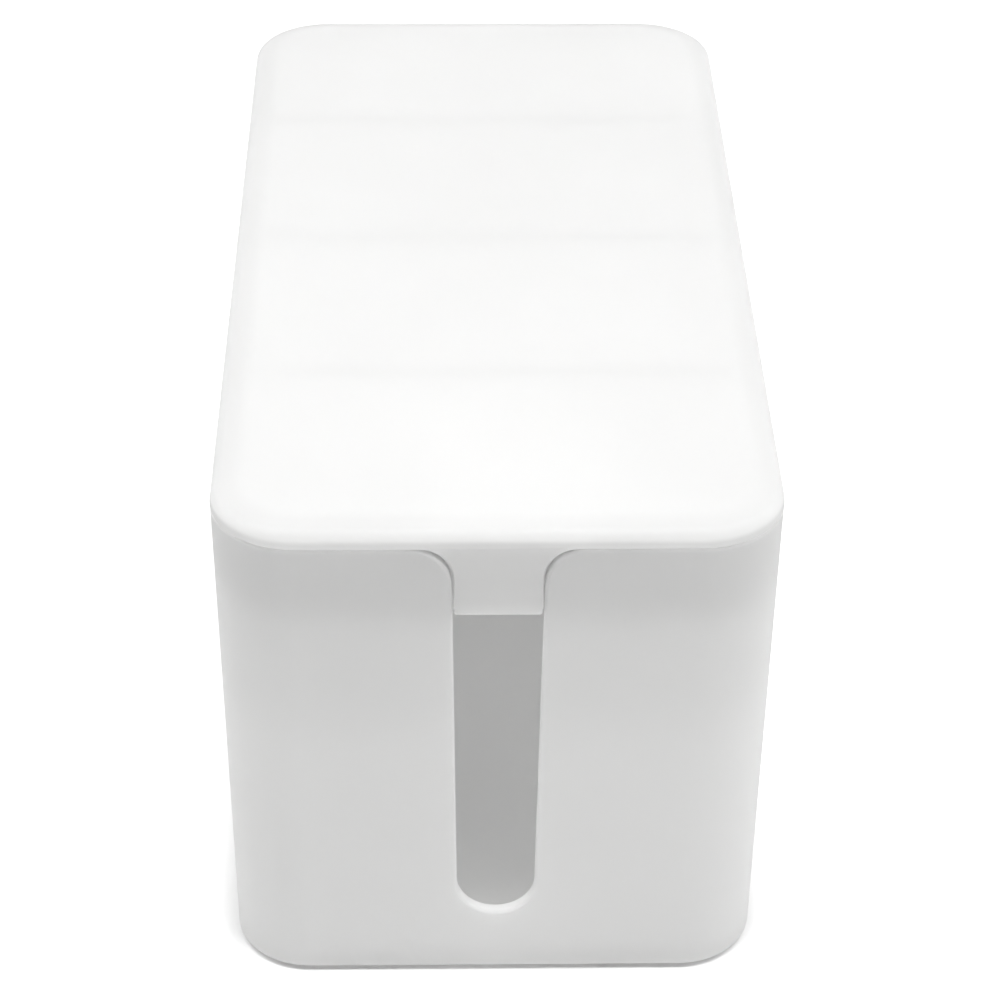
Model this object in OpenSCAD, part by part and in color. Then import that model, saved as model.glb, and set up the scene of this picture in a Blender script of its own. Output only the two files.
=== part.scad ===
// Cable management box: a slotted tub with a lift-off lid, standing on four rubber feet.
// Millimetres. +Z is up, the length runs along Y, and the front slot faces -Y.
// The origin is the centre of the footprint, on the surface that the feet stand on.

/* [Tub] */
// Outer width of the tub at its rim
tub_w = 116; // [90:1:180]
// Outer length of the tub at its rim
tub_l = 235; // [160:1:420]
// Height of the tub, from its underside to its rim
tub_h = 112; // [80:1:160]
// Radius of the upright corners at the rim
corner_r = 18; // [12:0.5:28]
// Lean of the walls for mould release, in degrees
draft = 0.8; // [0.3:0.1:1.5]
// Thickness of the walls
wall_t = 2.5; // [1.8:0.1:3.5]
// Thickness of the floor
floor_t = 2.5; // [2:0.1:4]
// Rounding of the edge round the underside
base_edge_r = 1; // [0.3:0.1:2]
// Fillet inside, where the floor turns up into the walls
floor_fillet_r = 3; // [1:0.5:6]
// Rounding of the rim's outer edge
rim_outer_r = 0.8; // [0.3:0.1:1.2]
// Lead-in chamfer of the rim's inner edge, which guides the lid's lip
rim_lead = 0.6; // [0.2:0.1:0.8]

/* [Cable slots] */
// Radius of the round lower end of a slot
slot_r = 8.3; // [6:0.1:14]
// Height of a slot's lowest point above the tub's underside
slot_sill = 16; // [8:1:30]
// Lean of a slot's sides, in degrees, so that it widens upwards
slot_draft = 0.7; // [0:0.1:2]
// Radius of the shoulders where a slot opens into the rim
shoulder_r = 9.2; // [5:0.1:12]

/* [Lid] */
// Thickness of the lid's plate
lid_t = 2.4; // [1.8:0.1:3.2]
// Height of the lid's top above the rim
lid_h = 4.8; // [4:0.1:7]
// Rounding of the lid's top edge
lid_edge_r = 4; // [2:0.1:4.2]
// Lean of the lid's side below that rounding, in degrees
lid_side_draft = 8; // [2:1:12]
// Rounding of the lid's lower edge
lid_lower_r = 0.4; // [0.2:0.1:0.6]
// How far the lid stands out past the rim
lid_overhang = 0.15; // [0:0.05:1]
// Depth of the locating lip and its tabs below the rim
lip_depth = 17; // [14:1:30]
// Thickness of the locating lip
lip_t = 1.6; // [1.2:0.1:2.4]
// Clearance between the lip and the tub's walls
lip_gap = 0.35; // [0.2:0.05:1]
// Number of ribs across the underside
rib_count = 3; // [1:1:7]
// Thickness of a rib at its free edge
rib_t = 1.2; // [0.8:0.1:2]
// Height of the ribs below the plate
rib_h = 3; // [1.5:0.5:6]

/* [Tabs] */
// Clearance between a tab and the sides of its slot
tab_gap = 0.35; // [0.2:0.05:0.8]
// How much tighter the fillet at a tab's root is than the slot's shoulder, which opens the gap there
tab_root_ease = 1; // [0.2:0.1:1.5]
// Rounding of a tab's two lower corners
tab_corner_r = 1.2; // [0.5:0.1:4]
// Bevel of a tab's lower outer edge
tab_bevel = 1; // [0.2:0.1:1.2]

/* [Feet] */
// Diameter of a foot
foot_d = 12; // [8:0.5:18]
// How far a foot stands proud of the underside
foot_proud = 1.2; // [0.8:0.1:4]
// Depth of the round recess that a foot is stuck into
foot_seat_h = 1; // [0.5:0.1:1.4]
// Clearance round a foot in its recess
foot_gap = 0.2; // [0.1:0.05:0.5]
// Rounding of a foot's lower edge
foot_edge_r = 0.5; // [0.2:0.1:0.7]
// Distance from the tub's sides at the rim to the centre of a foot
foot_inset = 20; // [16:1:30]

/* [Hidden] */
$fn = 96;

rim_z = foot_proud + tub_h;
// Overlap of solids that are one moulding, and overshoot of cuts past a face
bond = 0.5;
overshoot = 1;
// Slope of the walls, and how far they lean in over the tub's height
wall_slope = tan(draft);
wall_lean = tub_h * wall_slope;
// Inner face of the wall and outer face of the lip at the rim, measured out from a corner's axis
inner_r = corner_r - wall_t;
lip_r = inner_r - lip_gap;
// Level of the plate's underside above the rim
plate_z = lid_h - lid_t;
lip_fillet_r = 0.8;
rib_draft = 2;
// Centre of a slot's round end, the direction square to its right-hand side, and the fillet at a tab's root
slot_c = [0, slot_sill + slot_r];
slot_side = [cos(slot_draft), -sin(slot_draft)];
tab_root_r = shoulder_r - tab_root_ease;

function unit(v) = v / norm(v);
function mirrored(points) = [for (i = [len(points) - 1:-1:0]) [-points[i].x, points[i].y]];

// The point at level z that lies 'out' from the slot's middle, measured square to its right-hand side
function beside_slot(out, z) = [(out + (z - slot_c.y) * sin(slot_draft)) / cos(slot_draft), z];

// The point of the tub's leaning end face that lies at a level above the rim
function on_face(level) = [tub_l / 2 + level * wall_slope, tub_h + level];

// What an arc of radius r leaves of the corner at p, where the edges run towards a and b. It is taken
// away to round an outer corner, and added to fill an inner one.
module corner_web(p, a, b, r) {
  to_a = unit(a - p);
  to_b = unit(b - p);
  half = acos(to_a * to_b) / 2;
  reach = r / tan(half);
  centre = p + unit(to_a + to_b) * r / sin(half);
  difference() {
    polygon([p, p + to_a * reach, centre, p + to_b * reach]);
    translate(centre) circle(r = r);
  }
}

// Sweeps a section round the rounded rectangle of the tub's plan. In the section x runs outwards from a
// corner's axis and y runs up.
module around() {
  axis_x = tub_w / 2 - corner_r;
  axis_y = tub_l / 2 - corner_r;
  for (turn = [0:3]) {
    along_y = turn % 2 == 0;
    rotate(90 * turn) {
      translate([along_y ? axis_x : axis_y, along_y ? axis_y : axis_x, 0])
        rotate_extrude(angle = 90) children();
      translate([along_y ? axis_x : axis_y, 0, 0])
        rotate([90, 0, 0])
          linear_extrude(height = 2 * (along_y ? axis_y : axis_x), center = true) children();
    }
  }
}

// The flat middle that the sweep leaves open, from level z up by t
module middle(z, t) {
  translate([corner_r - tub_w / 2, corner_r - tub_l / 2, z])
    cube([tub_w - 2 * corner_r, tub_l - 2 * corner_r, t]);
}

// Section of the tub's wall and floor, from the underside up
module tub_section() {
  base = [corner_r - wall_lean, 0];
  rim_out = [corner_r, tub_h];
  rim_in = [inner_r + rim_lead, tub_h];
  wall_in = [inner_r - rim_lead * wall_slope, tub_h - rim_lead];
  floor_in = [inner_r - wall_lean + floor_t * wall_slope, floor_t];
  difference() {
    union() {
      polygon([[0, 0], base, rim_out, rim_in, wall_in, floor_in, [0, floor_t]]);
      corner_web(floor_in, wall_in, [0, floor_t], floor_fillet_r);
    }
    corner_web(base, [0, 0], rim_out, base_edge_r);
    corner_web(rim_out, base, rim_in, rim_outer_r);
  }
}

// An outline that is the same on both sides of the slot's middle, with a round hollow in each flank
module flanked_outline(right, hollow, r) {
  difference() {
    polygon(concat(right, mirrored(right)));
    for (side = [-1, 1])
      translate([side * hollow.x, hollow.y]) circle(r = r);
  }
}

// Front view of a slot: round below, leaning sides, and shoulders that flare into the rim
module slot_outline() {
  shoulder = beside_slot(slot_r + shoulder_r, tub_h - shoulder_r);
  translate(slot_c) circle(r = slot_r);
  flanked_outline([
    slot_c + slot_r * slot_side,
    shoulder - shoulder_r * slot_side,
    shoulder,
    [shoulder.x, tub_h + overshoot]
  ], shoulder, shoulder_r);
}

// Front view of a tab, with flanks that follow the shoulders of the slot
module tab_outline() {
  root = beside_slot(slot_r - tab_gap + tab_root_r, tub_h - tab_root_r);
  corner = beside_slot(slot_r - tab_gap, tub_h - lip_depth);
  difference() {
    flanked_outline([
      corner,
      root - tab_root_r * slot_side,
      root,
      [root.x, tub_h + bond]
    ], root, tab_root_r);
    for (side = [-1, 1])
      corner_web([side * corner.x, corner.y], [0, corner.y],
        [side * root.x, root.y - tab_root_r * slot_side.y], tab_corner_r);
  }
}

// Side view of a tab, in line with the tub's wall outside and reaching into the middle of the lip
module tab_section() {
  back = [wall_t + lip_gap + lip_t / 2, 0];
  polygon([
    on_face(bond),
    on_face(tab_bevel - lip_depth),
    on_face(-lip_depth) - [tab_bevel, 0],
    on_face(-lip_depth) - back,
    on_face(bond) - back
  ]);
}

module tab() {
  intersection() {
    rotate([90, 0, 180])
      linear_extrude(height = tub_l) tab_outline();
    rotate([90, 0, 90])
      linear_extrude(height = tub_w, center = true) tab_section();
  }
}

// Section of the lid from its top down to the tip of its lip, with the rim at level 0
module lid_section() {
  top_edge = [corner_r + lid_overhang - lid_h * tan(lid_side_draft), lid_h];
  low_edge = [corner_r + lid_overhang, 0];
  lip_tip = [lip_r - lip_depth * wall_slope, -lip_depth];
  lip_back = lip_r - lip_t;
  lip_root = [lip_back, plate_z];
  difference() {
    union() {
      polygon([
        [0, lid_h],
        top_edge,
        low_edge,
        [lip_r, 0],
        lip_tip,
        [lip_back, -lip_depth],
        lip_root,
        [0, plate_z]
      ]);
      corner_web(lip_root, [lip_back, -lip_depth], [0, plate_z], lip_fillet_r);
    }
    corner_web(top_edge, [0, lid_h], low_edge, lid_edge_r);
    corner_web(low_edge, top_edge, [lip_r, 0], lid_lower_r);
    corner_web(lip_tip, [lip_r, 0], [lip_back, -lip_depth], lip_t / 3);
  }
}

// A rib across the underside of the lid, thicker where it meets the plate
module rib() {
  root_t = rib_t + 2 * (rib_h + bond) * tan(rib_draft);
  half_w = tub_w / 2 - corner_r + lip_r - lip_t + bond;
  rotate([90, 0, 90])
    linear_extrude(height = 2 * half_w, center = true)
      polygon([
        [-root_t / 2, plate_z + bond],
        [root_t / 2, plate_z + bond],
        [rib_t / 2, plate_z - rib_h],
        [-rib_t / 2, plate_z - rib_h]
      ]);
}

// The places of the feet, as left or right (-1 or 1) and front or rear (-1 or 1)
module at_foot(side, end) {
  translate([side * (tub_w / 2 - foot_inset), end * (tub_l / 2 - foot_inset), 0]) children();
}

module tub() {
  color("white")
    difference() {
      translate([0, 0, foot_proud]) {
        around() tub_section();
        middle(0, floor_t);
      }
      for (end = [0, 180])
        rotate(end)
          translate([0, overshoot - tub_l / 2 + wall_t + wall_lean, foot_proud])
            rotate([90, 0, 0])
              linear_extrude(height = wall_t + wall_lean + 2 * overshoot) slot_outline();
      for (side = [-1, 1], end = [-1, 1])
        at_foot(side, end)
          cylinder(h = foot_proud + foot_seat_h, d = foot_d + 2 * foot_gap);
    }
}

module lid() {
  rib_pitch = tub_l / (rib_count + 1);
  color("white") {
    translate([0, 0, rim_z]) {
      around() lid_section();
      middle(plate_z, lid_t);
      for (i = [1:rib_count])
        translate([0, i * rib_pitch - tub_l / 2, 0]) rib();
    }
    for (end = [0, 180])
      rotate(end)
        translate([0, 0, foot_proud]) tab();
  }
}

module foot(side, end) {
  h = foot_proud + foot_seat_h;
  r = foot_d / 2;
  color("dimgray")
    at_foot(side, end)
      rotate_extrude()
        difference() {
          square([r, h]);
          corner_web([r, 0], [0, 0], [r, h], foot_edge_r);
        }
}

tub();
lid();
foot(-1, -1);  // foot_front_left
foot(1, -1);  // foot_front_right
foot(-1, 1);  // foot_rear_left
foot(1, 1);  // foot_rear_right
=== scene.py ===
import math

import bmesh
import bpy
from mathutils import Matrix, Vector


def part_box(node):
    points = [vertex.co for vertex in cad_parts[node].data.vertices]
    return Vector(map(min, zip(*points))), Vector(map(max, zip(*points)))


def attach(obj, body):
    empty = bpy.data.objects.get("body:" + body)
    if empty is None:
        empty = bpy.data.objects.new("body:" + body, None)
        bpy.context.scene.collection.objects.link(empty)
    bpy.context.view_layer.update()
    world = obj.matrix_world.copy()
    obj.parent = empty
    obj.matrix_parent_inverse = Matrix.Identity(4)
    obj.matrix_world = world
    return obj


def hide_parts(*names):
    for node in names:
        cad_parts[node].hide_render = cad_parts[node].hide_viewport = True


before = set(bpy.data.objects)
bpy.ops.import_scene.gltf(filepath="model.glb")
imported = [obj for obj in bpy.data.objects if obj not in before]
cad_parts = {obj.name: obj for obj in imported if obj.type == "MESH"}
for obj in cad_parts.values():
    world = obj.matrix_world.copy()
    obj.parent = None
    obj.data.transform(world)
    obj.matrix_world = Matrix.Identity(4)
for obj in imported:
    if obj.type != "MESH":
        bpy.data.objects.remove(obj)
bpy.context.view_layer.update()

# ---------------------------------------------------------------------------------------------------
# Studio. The box stands on a pale floor that runs out of view. A wide softbox hangs above its front
# end, a weak one before it and one high on each side. Three stand low: at the right and behind each
# rear corner.
# ---------------------------------------------------------------------------------------------------
scene = bpy.context.scene
scene.view_settings.view_transform = "Standard"
# Light crosses the inside of a white box many times before it fades
scene.cycles.diffuse_bounces = 10


def sight(azimuth, elevation, roll=0.0):
    """Axes right, up and back of a camera or lamp that looks at the box from there; azimuth 0 is the front."""
    az, el, ro = (math.radians(v) for v in (azimuth, elevation, roll))
    back = Vector((math.sin(az) * math.cos(el), -math.cos(az) * math.cos(el), math.sin(el)))
    right = (-back).cross(Vector((0, 0, 1))).normalized()
    up = right.cross(-back)
    return (right * math.cos(ro) + up * math.sin(ro), up * math.cos(ro) - right * math.sin(ro), back)


def stand(obj, axes, place):
    """Puts a camera or lamp at a place, turned to those axes."""
    right, up, back = axes
    obj.matrix_world = Matrix.Translation(place) @ Matrix((right, up, back)).transposed().to_4x4()
    scene.collection.objects.link(obj)


camera_data = bpy.data.cameras.new("camera")
camera_data.sensor_width = 36.0
camera_data.lens = 109.26
camera_data.clip_start = 0.02
camera = bpy.data.objects.new("camera", camera_data)
camera_axes = sight(azimuth=-1.394, elevation=34.046, roll=0.558)
# It looks at a point a little off the box's upright axis, to the right of it and downwards in the frame
camera_aim = Vector((0, 0, 0.0662)) + camera_axes[0] * 0.002762 - camera_axes[1] * 0.017099
camera_distance = 0.7217
stand(camera, camera_axes, camera_aim + camera_axes[2] * camera_distance)
scene.camera = camera


def softbox(name, azimuth, elevation, distance, width, height, power, aim=(0, 0, 0.05)):
    """A rectangular lamp that faces the box and isn't seen itself. Sizes are in metres, the power in watts."""
    data = bpy.data.lights.new(name, "AREA")
    data.shape = "RECTANGLE"
    data.size, data.size_y, data.energy = width, height, power
    axes = sight(azimuth, elevation)
    lamp = bpy.data.objects.new(name, data)
    lamp.visible_camera = False
    stand(lamp, axes, Vector(aim) + axes[2] * distance)


softbox("softbox_over", 0, 75, 1.8, 1.5, 0.75, 25.0)
softbox("softbox_over_front", 0, 60, 1.2, 1.0, 0.5, 0.98)
softbox("softbox_left", -90, 55, 1.2, 0.8, 0.6, 3.04)
softbox("softbox_right", 45, 60, 1.3, 0.5, 0.5, 4.3)
softbox("softbox_left_low", -115, 20, 1.2, 0.6, 0.6, 3.53)
softbox("softbox_right_low", 90, 10, 1.0, 0.6, 0.4, 1.42)
softbox("softbox_right_rear", 115, 20, 1.2, 0.6, 0.6, 3.33)

# The room: unlit, but plain white where it is seen, mirrored or looked through
room = bpy.data.worlds.new("room")
scene.world = room
room.use_nodes = True


def tree_of(owner):
    """An owner's node tree, emptied, with a short way to add a node and to join two sockets."""
    tree = owner.node_tree
    tree.nodes.clear()

    def add(kind, **settings):
        node = tree.nodes.new(kind)
        for key, value in settings.items():
            setattr(node, key, value)
        return node

    def join(source, target):
        tree.links.new(source, target)

    return add, join


def seen_white(add, join):
    """1 on rays that show the background: camera, mirror and glass rays."""
    path = add("ShaderNodeLightPath")
    either = add("ShaderNodeMath", operation="MAXIMUM")
    every = add("ShaderNodeMath", operation="MAXIMUM")
    join(path.outputs["Is Camera Ray"], either.inputs[0])
    join(path.outputs["Is Glossy Ray"], either.inputs[1])
    join(either.outputs[0], every.inputs[0])
    join(path.outputs["Is Transmission Ray"], every.inputs[1])
    return every.outputs[0]


add, join = tree_of(room)
white = add("ShaderNodeBackground")
white.inputs["Color"].default_value = (1, 1, 1, 1)
join(seen_white(add, join), white.inputs["Strength"])
join(white.outputs[0], add("ShaderNodeOutputWorld").inputs["Surface"])

floor_mesh = bpy.data.meshes.new("floor")
floor_mesh.from_pydata([(-4, -4, 0), (4, -4, 0), (4, 4, 0), (-4, 4, 0)], [], [(0, 1, 2, 3)])
floor = bpy.data.objects.new("floor", floor_mesh)
scene.collection.objects.link(floor)
floor_paint = bpy.data.materials.new("pale floor")
floor_paint.use_nodes = True
add, join = tree_of(floor_paint)
matt = add("ShaderNodeBsdfDiffuse")
matt.inputs["Color"].default_value = (0.9, 0.9, 0.9, 1)
# How far a point of the floor lies outside the box's rounded footprint
box_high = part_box("tub")[1]
footprint_r = 0.018
plan = add("ShaderNodeVectorMath", operation="ABSOLUTE")
past = add("ShaderNodeVectorMath", operation="SUBTRACT")
past.inputs[1].default_value = (box_high.x - footprint_r, box_high.y - footprint_r, 0)
outside = add("ShaderNodeVectorMath", operation="MAXIMUM")
outside.inputs[1].default_value = (0, 0, 0)
reach = add("ShaderNodeVectorMath", operation="LENGTH")
join(add("ShaderNodeTexCoord").outputs["Object"], plan.inputs[0])
join(plan.outputs["Vector"], past.inputs[0])
join(past.outputs["Vector"], outside.inputs[0])
join(outside.outputs["Vector"], reach.inputs[0])
# The floor's own white fades out beneath the box and just around its edge, a painted shade that keeps the dark gap
# there, and grows far away
floor_white_with_painted_shade = add("ShaderNodeMath", operation="ADD")
for k, (near, far, low, high) in enumerate((
    (footprint_r - 0.002, footprint_r + 0.008, 0.02, 0.4),
    (0.15, 0.9, 0, 0.55),
)):
    bright = add("ShaderNodeMapRange", interpolation_type="SMOOTHSTEP")
    bright.inputs["From Min"].default_value = near
    bright.inputs["From Max"].default_value = far
    bright.inputs["To Min"].default_value = low
    bright.inputs["To Max"].default_value = high
    join(reach.outputs["Value"], bright.inputs["Value"])
    join(bright.outputs["Result"], floor_white_with_painted_shade.inputs[k])
glow = add("ShaderNodeEmission")
glow_share = add("ShaderNodeMath", operation="MULTIPLY")
join(floor_white_with_painted_shade.outputs[0], glow_share.inputs[1])
join(seen_white(add, join), glow_share.inputs[0])
join(glow_share.outputs[0], glow.inputs["Strength"])
floor_sum = add("ShaderNodeAddShader")
floor_out = add("ShaderNodeOutputMaterial")
join(matt.outputs[0], floor_sum.inputs[0])
join(glow.outputs[0], floor_sum.inputs[1])
join(floor_sum.outputs[0], floor_out.inputs["Surface"])
floor_mesh.materials.append(floor_paint)

# ---------------------------------------------------------------------------------------------------
# Tub. One injection moulding in white ABS with a satin skin: a flat floor, four walls that lean in for
# mould release, upright corners of 18 mm, and a U-shaped cable slot in each short end whose shoulders
# flare into the rim. Its edges are rounded, softly outside and finely inside.
# ---------------------------------------------------------------------------------------------------
MM = 0.001
tub_low, tub_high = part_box("tub")
tub_half_w, tub_half_l = tub_high.x, tub_high.y
underside_z, rim_z = tub_low.z, tub_high.z
tub_h = rim_z - underside_z
corner_r = 18 * MM
wall_slope = math.tan(math.radians(0.8))
wall_t = 2.5 * MM
floor_t = 2.5 * MM
inner_fillet_r = 3 * MM
base_edge_r = 1 * MM
# The sweep's path runs this far out from the corners' axes, so that it has round corners of its own
path_r = 4 * MM


def moulding_skin(name, tint, roughness, painted_tones):
    """Satin white plastic: fine grain, faint flow marks, and light that spreads in it and passes through.

    The painted tones are pairs of a level and a share of the tint, listed upwards: painted shade and painted
    highlight by height, for what the light that passes through it doesn't give by itself.
    """
    material = bpy.data.materials.new(name)
    material.use_nodes = True
    add, join = tree_of(material)
    place = add("ShaderNodeTexCoord").outputs["Object"]
    # Very faint, wide changes of tone, as where the melt front cooled
    flow = add("ShaderNodeTexNoise")
    flow.inputs["Scale"].default_value = 14.0
    flow.inputs["Detail"].default_value = 2.0
    tone = add("ShaderNodeValToRGB")
    tone.color_ramp.elements[0].position = 0.35
    tone.color_ramp.elements[0].color = (*(c * 0.985 for c in tint), 1)
    tone.color_ramp.elements[1].position = 0.65
    tone.color_ramp.elements[1].color = (*tint, 1)
    level = add("ShaderNodeSeparateXYZ")
    join(place, level.inputs[0])
    # Painted shade and painted highlight: the tint's share changes with height, as the painted tones list it
    low, high = painted_tones[0][0], painted_tones[-1][0]
    rise = add("ShaderNodeMapRange")
    rise.inputs["From Min"].default_value = low
    rise.inputs["From Max"].default_value = high
    join(level.outputs["Z"], rise.inputs["Value"])
    painted_shade_and_highlight = add("ShaderNodeValToRGB")
    painted_shade_and_highlight.color_ramp.interpolation = "EASE"
    for k, (z, share) in enumerate(painted_tones):
        stops = painted_shade_and_highlight.color_ramp.elements
        stop = stops[0] if k == 0 else stops[-1] if k == len(painted_tones) - 1 else stops.new((z - low) / (high - low))
        stop.color = (share, share, share, 1)
    join(rise.outputs["Result"], painted_shade_and_highlight.inputs["Fac"])
    colour = add("ShaderNodeVectorMath", operation="MULTIPLY")
    join(tone.outputs["Color"], colour.inputs[0])
    join(painted_shade_and_highlight.outputs["Color"], colour.inputs[1])
    # Gloss that wavers a little over a few centimetres
    haze = add("ShaderNodeTexNoise")
    haze.inputs["Scale"].default_value = 60.0
    haze.inputs["Detail"].default_value = 4.0
    gloss = add("ShaderNodeMapRange")
    gloss.inputs["From Min"].default_value = 0.3
    gloss.inputs["From Max"].default_value = 0.7
    gloss.inputs["To Min"].default_value = roughness - 0.03
    gloss.inputs["To Max"].default_value = roughness + 0.03
    # The fine grain of the polished and lightly blasted mould
    grain = add("ShaderNodeTexNoise")
    grain.inputs["Scale"].default_value = 2600.0
    grain.inputs["Detail"].default_value = 2.0
    relief = add("ShaderNodeBump")
    relief.inputs["Strength"].default_value = 0.12
    relief.inputs["Distance"].default_value = 0.00004
    skin = add("ShaderNodeBsdfPrincipled")
    skin.inputs["IOR"].default_value = 1.5
    # Light spreads a few millimetres inside the plastic, which softens the shade on its rounded edges
    skin.inputs["Subsurface Weight"].default_value = 1.0
    skin.inputs["Subsurface Radius"].default_value = (1, 1, 1)
    skin.inputs["Subsurface Scale"].default_value = 0.003
    # Each skin of a wall passes part of the light on, so a thin wall glows and a double one looks darker
    through = add("ShaderNodeBsdfTranslucent")
    body = add("ShaderNodeMixShader")
    # The flanks of the tabs and of the slots' upper ends pass none, which keeps the gap between them dark
    facing = add("ShaderNodeSeparateXYZ")
    join(add("ShaderNodeTexCoord").outputs["Normal"], facing.inputs[0])
    endwise = add("ShaderNodeMath", operation="ABSOLUTE")
    join(facing.outputs["Y"], endwise.inputs[0])
    flank = add("ShaderNodeMath", operation="LESS_THAN")
    flank.inputs[1].default_value = 0.6
    join(endwise.outputs[0], flank.inputs[0])
    along = add("ShaderNodeMath", operation="ABSOLUTE")
    join(level.outputs["Y"], along.inputs[0])
    at_end = add("ShaderNodeMath", operation="GREATER_THAN")
    at_end.inputs[1].default_value = tub_half_l - 6 * MM
    join(along.outputs[0], at_end.inputs[0])
    upper = add("ShaderNodeMath", operation="COMPARE")
    upper.inputs[1].default_value = rim_z - 10 * MM
    upper.inputs[2].default_value = 10 * MM
    join(level.outputs["Z"], upper.inputs[0])
    thick = add("ShaderNodeMath", operation="MULTIPLY")
    join(flank.outputs[0], thick.inputs[0])
    join(at_end.outputs[0], thick.inputs[1])
    shut = add("ShaderNodeMath", operation="MULTIPLY")
    join(thick.outputs[0], shut.inputs[0])
    join(upper.outputs[0], shut.inputs[1])
    passed = add("ShaderNodeMapRange")
    passed.inputs["To Min"].default_value = 0.48
    passed.inputs["To Max"].default_value = 0
    join(shut.outputs[0], passed.inputs["Value"])
    join(passed.outputs["Result"], body.inputs["Fac"])
    out = add("ShaderNodeOutputMaterial")
    for noise in (flow, haze, grain):
        join(place, noise.inputs["Vector"])
    join(flow.outputs["Fac"], tone.inputs["Fac"])
    join(colour.outputs[0], skin.inputs["Base Color"])
    join(haze.outputs["Fac"], gloss.inputs["Value"])
    join(gloss.outputs["Result"], skin.inputs["Roughness"])
    join(grain.outputs["Fac"], relief.inputs["Height"])
    join(relief.outputs["Normal"], skin.inputs["Normal"])
    join(colour.outputs[0], through.inputs["Color"])
    join(skin.outputs[0], body.inputs[1])
    join(through.outputs[0], body.inputs[2])
    join(body.outputs[0], out.inputs["Surface"])
    return material


def moulding_sweep():
    """Node tree that carries a moulding's section round a rounded rectangle and closes its middle."""
    tree = bpy.data.node_groups.new("moulding sweep", "GeometryNodeTree")
    sockets = {}
    for name, kind in (
        ("Section", "NodeSocketGeometry"),
        ("Width", "NodeSocketFloat"),
        ("Length", "NodeSocketFloat"),
        ("Corner Radius", "NodeSocketFloat"),
        ("Corner Steps", "NodeSocketInt"),
        ("Upper Plate", "NodeSocketFloat"),
        ("Lower Plate", "NodeSocketFloat"),
        ("Material", "NodeSocketMaterial"),
    ):
        sockets[name] = tree.interface.new_socket(name, in_out="INPUT", socket_type=kind).identifier
    tree.interface.new_socket("Piece", in_out="OUTPUT", socket_type="NodeSocketGeometry")

    def add(kind):
        return tree.nodes.new("GeometryNode" + kind)

    def join(source, target):
        tree.links.new(source, target)

    given = tree.nodes.new("NodeGroupInput").outputs
    path = add("CurvePrimitiveQuadrilateral")
    join(given["Width"], path.inputs["Width"])
    join(given["Length"], path.inputs["Height"])
    fillet = add("FilletCurve")
    fillet.mode = "POLY"
    join(path.outputs[0], fillet.inputs["Curve"])
    join(given["Corner Steps"], fillet.inputs["Count"])
    join(given["Corner Radius"], fillet.inputs["Radius"])
    upright = add("SetCurveNormal")
    upright.mode = "Z_UP"
    join(fillet.outputs[0], upright.inputs["Curve"])
    section = add("MeshToCurve")
    join(given["Section"], section.inputs["Mesh"])
    wall = add("CurveToMesh")
    join(upright.outputs[0], wall.inputs["Curve"])
    join(section.outputs[0], wall.inputs["Profile Curve"])
    both = add("JoinGeometry")
    join(wall.outputs[0], both.inputs[0])
    plate = add("FillCurve")
    plate.mode = "NGONS"
    join(fillet.outputs[0], plate.inputs["Curve"])
    turned = add("FlipFaces")
    join(plate.outputs[0], turned.inputs["Mesh"])
    for level, face in (("Upper Plate", plate), ("Lower Plate", turned)):
        height = tree.nodes.new("ShaderNodeCombineXYZ")
        join(given[level], height.inputs["Z"])
        lift = add("Transform")
        join(face.outputs[0], lift.inputs["Geometry"])
        join(height.outputs[0], lift.inputs["Translation"])
        join(lift.outputs[0], both.inputs[0])
    weld = add("MergeByDistance")
    weld.inputs["Distance"].default_value = 1e-6
    real = add("RealizeInstances")
    paint = add("SetMaterial")
    join(both.outputs[0], weld.inputs["Geometry"])
    join(weld.outputs[0], real.inputs["Geometry"])
    join(real.outputs[0], paint.inputs["Geometry"])
    join(given["Material"], paint.inputs["Material"])
    join(paint.outputs[0], tree.nodes.new("NodeGroupOutput").inputs[0])
    return tree, sockets


sweep_tree, sweep_sockets = moulding_sweep()


def rounded(points, step=math.radians(9)):
    """Points of an open outline given as (x, y, radius): each corner with a radius becomes an arc."""
    line = []
    for i, (x, y, r) in enumerate(points):
        p = Vector((x, y))
        if r == 0:
            line.append(p)
            continue
        to_a = (Vector(points[i - 1][:2]) - p).normalized()
        to_b = (Vector(points[i + 1][:2]) - p).normalized()
        half = to_a.angle(to_b) / 2
        centre = p + (to_a + to_b).normalized() * r / math.sin(half)
        start = p + to_a * r / math.tan(half) - centre
        end = p + to_b * r / math.tan(half) - centre
        turn = start.angle_signed(end)
        count = max(2, math.ceil(abs(turn) / step))
        for k in range(count + 1):
            a = -turn * k / count
            line.append(centre + Vector((start.x * math.cos(a) - start.y * math.sin(a),
                                         start.x * math.sin(a) + start.y * math.cos(a))))
    return line


def evaluated(obj):
    """The object with its modifiers turned into a plain mesh, in its one material."""
    graph = bpy.context.evaluated_depsgraph_get()
    graph.update()
    mesh = bpy.data.meshes.new_from_object(obj.evaluated_get(graph))
    paint = [material for material in mesh.materials if material]
    mesh.materials.clear()
    if paint:
        mesh.materials.append(paint[0])
    mesh.polygons.foreach_set("material_index", [0] * len(mesh.polygons))
    old = obj.data
    obj.modifiers.clear()
    obj.data = mesh
    mesh.name = obj.name
    if old.users == 0:
        bpy.data.meshes.remove(old)
    return obj


def linked(name, mesh):
    obj = bpy.data.objects.new(name, mesh)
    scene.collection.objects.link(obj)
    return obj


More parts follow.
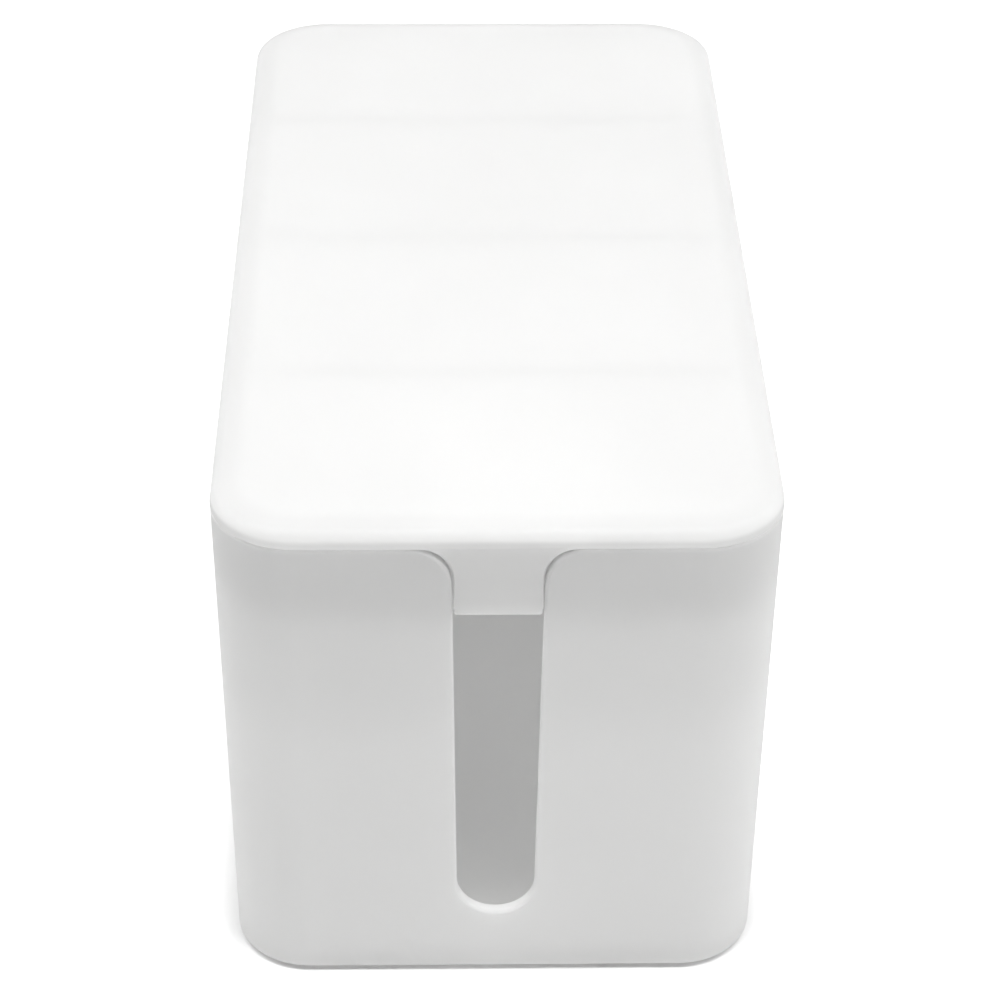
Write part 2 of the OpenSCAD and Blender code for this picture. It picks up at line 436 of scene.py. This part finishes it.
def swept(name, section, half_w, half_l, axis_r, upper, lower, material, steps=20):
    """A moulding from its section, listed as (out from the corner's axis, height, radius)."""
    mesh = bpy.data.meshes.new(name)
    line = [(p.x - path_r, -p.y, 0) for p in rounded(section)]
    mesh.from_pydata(line, [(i, i + 1) for i in range(len(line) - 1)], [])
    obj = linked(name, mesh)
    nodes = obj.modifiers.new("sweep", "NODES")
    nodes.node_group = sweep_tree
    for socket, value in (
        ("Width", 2 * (half_w - axis_r + path_r)),
        ("Length", 2 * (half_l - axis_r + path_r)),
        ("Corner Radius", path_r),
        ("Corner Steps", steps),
        ("Upper Plate", upper),
        ("Lower Plate", lower),
        ("Material", material),
    ):
        nodes[sweep_sockets[socket]] = value
    return evaluated(obj)


def prism(name, outline, y_start, y_end):
    """A closed bar whose outline, in x and z, runs from one y to another."""
    mesh = bpy.data.meshes.new(name)
    shape = bmesh.new()
    rings = [[shape.verts.new((x, y, z)) for x, z in outline] for y in (y_start, y_end)]
    n = len(outline)
    shape.faces.new(rings[0])
    shape.faces.new(rings[1][::-1])
    for i in range(n):
        k = (i + 1) % n
        shape.faces.new((rings[0][k], rings[0][i], rings[1][i], rings[1][k]))
    bmesh.ops.recalc_face_normals(shape, faces=shape.faces)
    shape.to_mesh(mesh)
    shape.free()
    return linked(name, mesh)


def combine(obj, others, operation):
    """Cuts the others from a piece, or joins them to it."""
    for other in others:
        change = obj.modifiers.new("combine", "BOOLEAN")
        change.operation, change.solver, change.object = operation, "EXACT", other
    evaluated(obj)
    for other in others:
        bpy.data.objects.remove(other)
    return obj


def soften(obj, wanted, width, segments):
    """Rounds the sharp edges for which wanted(middle of the edge) is true."""
    shape = bmesh.new()
    shape.from_mesh(obj.data)
    edges = [
        e for e in shape.edges
        if len(e.link_faces) == 2 and e.calc_face_angle(0) > math.radians(35)
        and wanted((e.verts[0].co + e.verts[1].co) / 2)
    ]
    bmesh.ops.bevel(shape, geom=edges, offset=width, offset_type="OFFSET", segments=segments, profile=0.5,
                    affect="EDGES", clamp_overlap=False)
    bmesh.ops.remove_doubles(shape, verts=shape.verts, dist=2e-7)
    shape.to_mesh(obj.data)
    shape.free()
    return obj


def smoothed(obj):
    """Smooth shading that keeps flat faces flat and real corners sharp."""
    obj.data.shade_smooth()
    obj.data.set_sharp_from_angle(angle=math.radians(34))
    weighted = obj.modifiers.new("normals", "WEIGHTED_NORMAL")
    weighted.keep_sharp = True
    weighted.weight = 80
    return evaluated(obj)


# Painted shade by height: the tint is a little deeper from the rim down to below the lip, which stands
# behind the wall there, and a painted highlight pales the rim's last millimetre, which would otherwise make too dark
# a line beneath the lid's edge
white_tub = moulding_skin("satin white tub plastic", (0.87, 0.87, 0.868), 0.46, [
    (rim_z - 55 * MM, 1), (rim_z - 30 * MM, 0.97), (rim_z - 8 * MM, 0.965), (rim_z - 1.2 * MM, 0.965), (rim_z, 1.1)])
wall_lean = tub_h * wall_slope
inner_r = corner_r - wall_t
tub = swept("tub_moulding", [
    (path_r, underside_z + floor_t, 0),
    (inner_r - wall_lean + floor_t * wall_slope, underside_z + floor_t, inner_fillet_r),
    (inner_r, rim_z, 0),
    (corner_r, rim_z, 0),
    (corner_r - wall_lean, underside_z, base_edge_r),
    (path_r, underside_z, 0),
], tub_half_w, tub_half_l, corner_r, underside_z + floor_t, underside_z, white_tub)

# The slot: the radius of its round end, how high that end starts, its sides' lean and its shoulders
slot_r = 8.3 * MM
slot_sill = 16 * MM
slot_z = underside_z + slot_sill + slot_r
slot_lean = math.radians(0.7)
shoulder_r = 9.2 * MM
# Shoulders and tab roots meet the rim's plane at a tangent, and run on by this much to be cut cleanly
overshoot = 12


def beside_slot(out, z):
    """Where the line square to a slot's right side, this far out from its middle, crosses a level."""
    return (out + (z - slot_z) * math.sin(slot_lean)) / math.cos(slot_lean)


def both_sides(right):
    """An outline from its right half, listed from the bottom up."""
    return right + [(-x, z) for x, z in reversed(right)]


def run_on(points, reach):
    """Takes an outline's last stretch further in the same line, so that it passes through the rim's plane."""
    (x0, z0), (x1, z1) = points[-2:]
    return points[:-1] + [(x0 + (x1 - x0) * reach, z0 + (z1 - z0) * reach)]


def arc(cx, cz, r, start, end, count):
    """Points of an arc round a centre, from one angle to another."""
    return [
        (cx + r * math.cos(a), cz + r * math.sin(a))
        for a in (start + (end - start) * k / count for k in range(count + 1))
    ]


shoulder_z = rim_z - shoulder_r
shoulder_x = beside_slot(slot_r + shoulder_r, shoulder_z)
slot_half = run_on(
    arc(0, slot_z, slot_r, -math.pi / 2, -slot_lean, 20)[1:]
    + arc(shoulder_x, shoulder_z, shoulder_r, math.pi - slot_lean, math.pi / 2, 20), overshoot)
slot_outline = [(0, slot_z - slot_r)] + both_sides(slot_half + [(slot_half[-1][0], rim_z + 3 * MM)])
slot_cuts = [
    prism("slot cut", slot_outline, end * (tub_half_l - 12 * MM), end * (tub_half_l + 5 * MM))
    for end in (-1, 1)
]

foot_nodes = ("foot_front_left", "foot_front_right", "foot_rear_left", "foot_rear_right")


def foot_place(node):
    """A foot's middle, its radius and the level of its top."""
    low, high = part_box(node)
    return (low + high) / 2, (high.x - low.x) / 2, high.z


recess_play = 0.2 * MM
recess_steps = 48
recess_cuts = []
for node in foot_nodes:
    middle, foot_r, foot_top = foot_place(node)
    ring = arc(middle.x, middle.y, foot_r + recess_play, 0, 2 * math.pi, recess_steps)[:-1]
    recess = bpy.data.meshes.new("recess cut")
    levels = (underside_z - 2 * MM, foot_top)
    n = recess_steps
    recess.from_pydata(
        [(x, y, z) for z in levels for x, y in ring], [],
        [tuple(reversed(range(n))), tuple(range(n, 2 * n))]
        + [(i, (i + 1) % n, n + (i + 1) % n, n + i) for i in range(n)],
    )
    recess_cuts.append(linked("recess cut", recess))
combine(tub, slot_cuts + recess_cuts, "DIFFERENCE")


def outside_wall(p):
    """Whether a point lies on the outer half of the wall, in plan."""
    lean = (rim_z - p.z) * wall_slope
    dx = abs(p.x) - (tub_half_w - corner_r)
    dy = abs(p.y) - (tub_half_l - corner_r)
    out = math.hypot(max(dx, 0), max(dy, 0)) if dx > 0 and dy > 0 else max(dx, dy)
    return out > corner_r - lean - wall_t / 2


# The recesses under the floor keep their crisp edges
above_base = underside_z + 6 * MM
outer_edge_r = 0.8 * MM
inner_edge_r = 0.45 * MM
soften(tub, lambda p: p.z > above_base and outside_wall(p), outer_edge_r, 5)
soften(tub, lambda p: p.z > above_base and not outside_wall(p), inner_edge_r, 3)
smoothed(tub)
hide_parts("tub")
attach(tub, "box")

# ---------------------------------------------------------------------------------------------------
# Feet. Four round pads of dark matt rubber, die-cut with a softened lower edge and stuck into shallow
# round recesses under the tub.
# ---------------------------------------------------------------------------------------------------
rubber = bpy.data.materials.new("dark matt rubber")
rubber.use_nodes = True
add, join = tree_of(rubber)
place = add("ShaderNodeTexCoord").outputs["Object"]
specks = add("ShaderNodeTexNoise")
specks.inputs["Scale"].default_value = 1400.0
specks.inputs["Detail"].default_value = 5.0
shade = add("ShaderNodeValToRGB")
shade.color_ramp.elements[0].color = (0.022, 0.022, 0.023, 1)
shade.color_ramp.elements[1].color = (0.034, 0.034, 0.035, 1)
pitted = add("ShaderNodeBump")
pitted.inputs["Strength"].default_value = 0.5
pitted.inputs["Distance"].default_value = 0.00006
pad = add("ShaderNodeBsdfPrincipled")
pad.inputs["Roughness"].default_value = 0.78
join(place, specks.inputs["Vector"])
join(specks.outputs["Fac"], shade.inputs["Fac"])
join(shade.outputs["Color"], pad.inputs["Base Color"])
join(specks.outputs["Fac"], pitted.inputs["Height"])
join(pitted.outputs["Normal"], pad.inputs["Normal"])
join(pad.outputs[0], add("ShaderNodeOutputMaterial").inputs["Surface"])

for node in foot_nodes:
    middle, foot_r, foot_top = foot_place(node)
    foot = swept(node + "_pad", [
        (path_r, foot_top, 0),
        (foot_r, foot_top, 0),
        (foot_r, 0, 0.5 * MM),
        (path_r, 0, 0),
    ], foot_r, foot_r, foot_r, foot_top, 0, rubber, steps=12)
    foot.data.transform(Matrix.Translation((middle.x, middle.y, 0)))
    smoothed(foot)
    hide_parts(node)
    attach(foot, "box")

# ---------------------------------------------------------------------------------------------------
# Lid. One injection moulding in the same white ABS: a flat plate with a soft rounded edge, a deep lip
# that locates it inside the rim, three ribs under the plate, and at each end a tab that thickens the
# lip to close the mouth of the slot. It lies on the rim by its own weight and lifts straight off.
# ---------------------------------------------------------------------------------------------------
lid_low, lid_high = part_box("lid")
# Painted shade by height: deepest from the tabs' roots to the lower part of the lid's edge, with a painted highlight
# paler again towards the lower edges of the tabs and lip, while the top keeps its full tint
white_lid = moulding_skin("satin white lid plastic", (0.88, 0.88, 0.878), 0.55, [
    (lid_low.z, 1), (lid_low.z + 5 * MM, 0.925), (rim_z - 7 * MM, 0.905), (rim_z + 0.9 * MM, 0.86),
    (rim_z + 2.1 * MM, 1)])
lid_top_z = lid_high.z
plate_t = 2.4 * MM
plate_z = lid_top_z - plate_t
overhang = lid_high.x - tub_half_w
# The top slopes down over its last stretch, and the edge below that leans in for mould release
slope_w = 6 * MM
slope_drop = 1.5 * MM
slope_z = lid_top_z - slope_drop
edge_lean = math.tan(math.radians(8))
# The lip and the tabs stand clear of the tub by this much
clearance = 0.35 * MM
lip_depth = rim_z - lid_low.z
lip_t = 1.6 * MM
lip_r = inner_r - clearance
lid = swept("lid_moulding", [
    (path_r, lid_top_z, 0),
    (corner_r + overhang - slope_w, lid_top_z, 10 * MM),
    (corner_r + overhang - (slope_z - rim_z) * edge_lean, slope_z, 2.9 * MM),
    (corner_r + overhang, rim_z, 0.2 * MM),
    (lip_r, rim_z, 0),
    (lip_r - lip_depth * wall_slope, rim_z - lip_depth, 0.5 * MM),
    (lip_r - lip_t, rim_z - lip_depth, 0.3 * MM),
    (lip_r - lip_t, plate_z, 0.8 * MM),
    (path_r, plate_z, 0),
], tub_half_w, tub_half_l, corner_r, lid_top_z, plate_z, white_lid)


def rib_row():
    """Node tree that sets ribs out in a row along the lid."""
    tree = bpy.data.node_groups.new("rib row", "GeometryNodeTree")
    sockets = {}
    for name, kind in (
        ("Rib", "NodeSocketGeometry"),
        ("Count", "NodeSocketInt"),
        ("Pitch", "NodeSocketFloat"),
        ("Material", "NodeSocketMaterial"),
    ):
        sockets[name] = tree.interface.new_socket(name, in_out="INPUT", socket_type=kind).identifier
    tree.interface.new_socket("Ribs", in_out="OUTPUT", socket_type="NodeSocketGeometry")
    given = tree.nodes.new("NodeGroupInput").outputs
    row = tree.nodes.new("GeometryNodeMeshLine")
    step = tree.nodes.new("ShaderNodeCombineXYZ")
    first = tree.nodes.new("ShaderNodeCombineXYZ")
    gaps = tree.nodes.new("ShaderNodeMath")
    gaps.operation = "SUBTRACT"
    gaps.inputs[1].default_value = 1
    back = tree.nodes.new("ShaderNodeMath")
    back.operation = "MULTIPLY"
    half = tree.nodes.new("ShaderNodeMath")
    half.operation = "MULTIPLY"
    half.inputs[1].default_value = -0.5
    on_row = tree.nodes.new("GeometryNodeInstanceOnPoints")
    real = tree.nodes.new("GeometryNodeRealizeInstances")
    paint = tree.nodes.new("GeometryNodeSetMaterial")
    for source, target in (
        (given["Count"], row.inputs["Count"]),
        (given["Pitch"], step.inputs["Y"]),
        (step.outputs[0], row.inputs["Offset"]),
        (given["Count"], gaps.inputs[0]),
        (gaps.outputs[0], back.inputs[0]),
        (given["Pitch"], back.inputs[1]),
        (back.outputs[0], half.inputs[0]),
        (half.outputs[0], first.inputs["Y"]),
        (first.outputs[0], row.inputs["Start Location"]),
        (row.outputs[0], on_row.inputs["Points"]),
        (given["Rib"], on_row.inputs["Instance"]),
        (on_row.outputs[0], real.inputs["Geometry"]),
        (real.outputs[0], paint.inputs["Geometry"]),
        (given["Material"], paint.inputs["Material"]),
        (paint.outputs[0], tree.nodes.new("NodeGroupOutput").inputs[0]),
    ):
        tree.links.new(source, target)
    return tree, sockets


rib_h = 3 * MM
rib_half_t = 0.6 * MM
# Its ends and its top run this far into the lip and the plate
rib_bite = 0.5 * MM
rib_reach = tub_half_w - corner_r + lip_r - lip_t + rib_bite
rib_top = plate_z + rib_bite
rib_foot = plate_z - rib_h
rib_root = rib_half_t + (rib_top - rib_foot) * math.tan(math.radians(2))
rib = bpy.data.meshes.new("rib")
rib.from_pydata(
    [(x, y, z) for x in (-rib_reach, rib_reach)
     for y, z in ((-rib_half_t, rib_foot), (rib_half_t, rib_foot), (rib_root, rib_top), (-rib_root, rib_top))],
    [], [(0, 3, 2, 1), (4, 5, 6, 7), (0, 1, 5, 4), (1, 2, 6, 5), (2, 3, 7, 6), (3, 0, 4, 7)],
)
ribs = linked("ribs", rib)
rib_tree, rib_sockets = rib_row()
rib_nodes = ribs.modifiers.new("row", "NODES")
rib_nodes.node_group = rib_tree
rib_nodes[rib_sockets["Count"]] = 3
rib_nodes[rib_sockets["Pitch"]] = 2 * tub_half_l / 4
rib_nodes[rib_sockets["Material"]] = white_lid
evaluated(ribs)

# The smaller radius opens the gap between a tab's root and the slot's shoulder
tab_root_r = shoulder_r - 1.9 * MM
tab_low = rim_z - lip_depth
root_z = rim_z - tab_root_r
root_x = beside_slot(slot_r - clearance + tab_root_r, root_z)
corner_x = beside_slot(slot_r - clearance, tab_low)
tab_corner_r = 1.2 * MM
tab_outline = both_sides(run_on(
    arc(corner_x - tab_corner_r, tab_low + tab_corner_r, tab_corner_r, -math.pi / 2, -slot_lean, 7)
    + arc(root_x, root_z, tab_root_r, math.pi - slot_lean, math.pi / 2, 18), overshoot))
tab_edge_r = 1.8 * MM
tab_back = tub_half_l - wall_t - 1.2 * MM


def end_face(z):
    """How far out the tub's leaning end face lies at a level."""
    return tub_half_l + (z - rim_z) * wall_slope


# A tab seen from the side: it follows the wall, its lower outer edge is rounded, and its top is in the plate
tab_top = rim_z + 1 * MM
tab_side = [tuple(p) for p in rounded([
    (tab_back, tab_low + 0.01 * MM, 0),
    (end_face(tab_low), tab_low + 0.01 * MM, tab_edge_r),
    (end_face(tab_top), tab_top, 0),
    (tab_back, tab_top, 0),
])]
tabs = []
for end in (-1, 1):
    tab = prism("tab", tab_outline, end * (tub_half_l + 1 * MM), end * (tab_back - 1 * MM))
    side = prism("tab side", tab_side, -20 * MM, 20 * MM)
    side.data.transform(Matrix.Rotation(end * math.radians(90), 4, "Z"))
    combine(tab, [side], "INTERSECT")
    soften(tab, lambda p: abs(p.y) > tab_back + 0.5 * MM and p.z < rim_z - 0.1 * MM, 0.2 * MM, 3)
    tab.data.materials.append(white_lid)
    tabs.append(tab)
combine(lid, tabs + [ribs], "UNION")
smoothed(lid)
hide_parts("lid")
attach(lid, "lid")
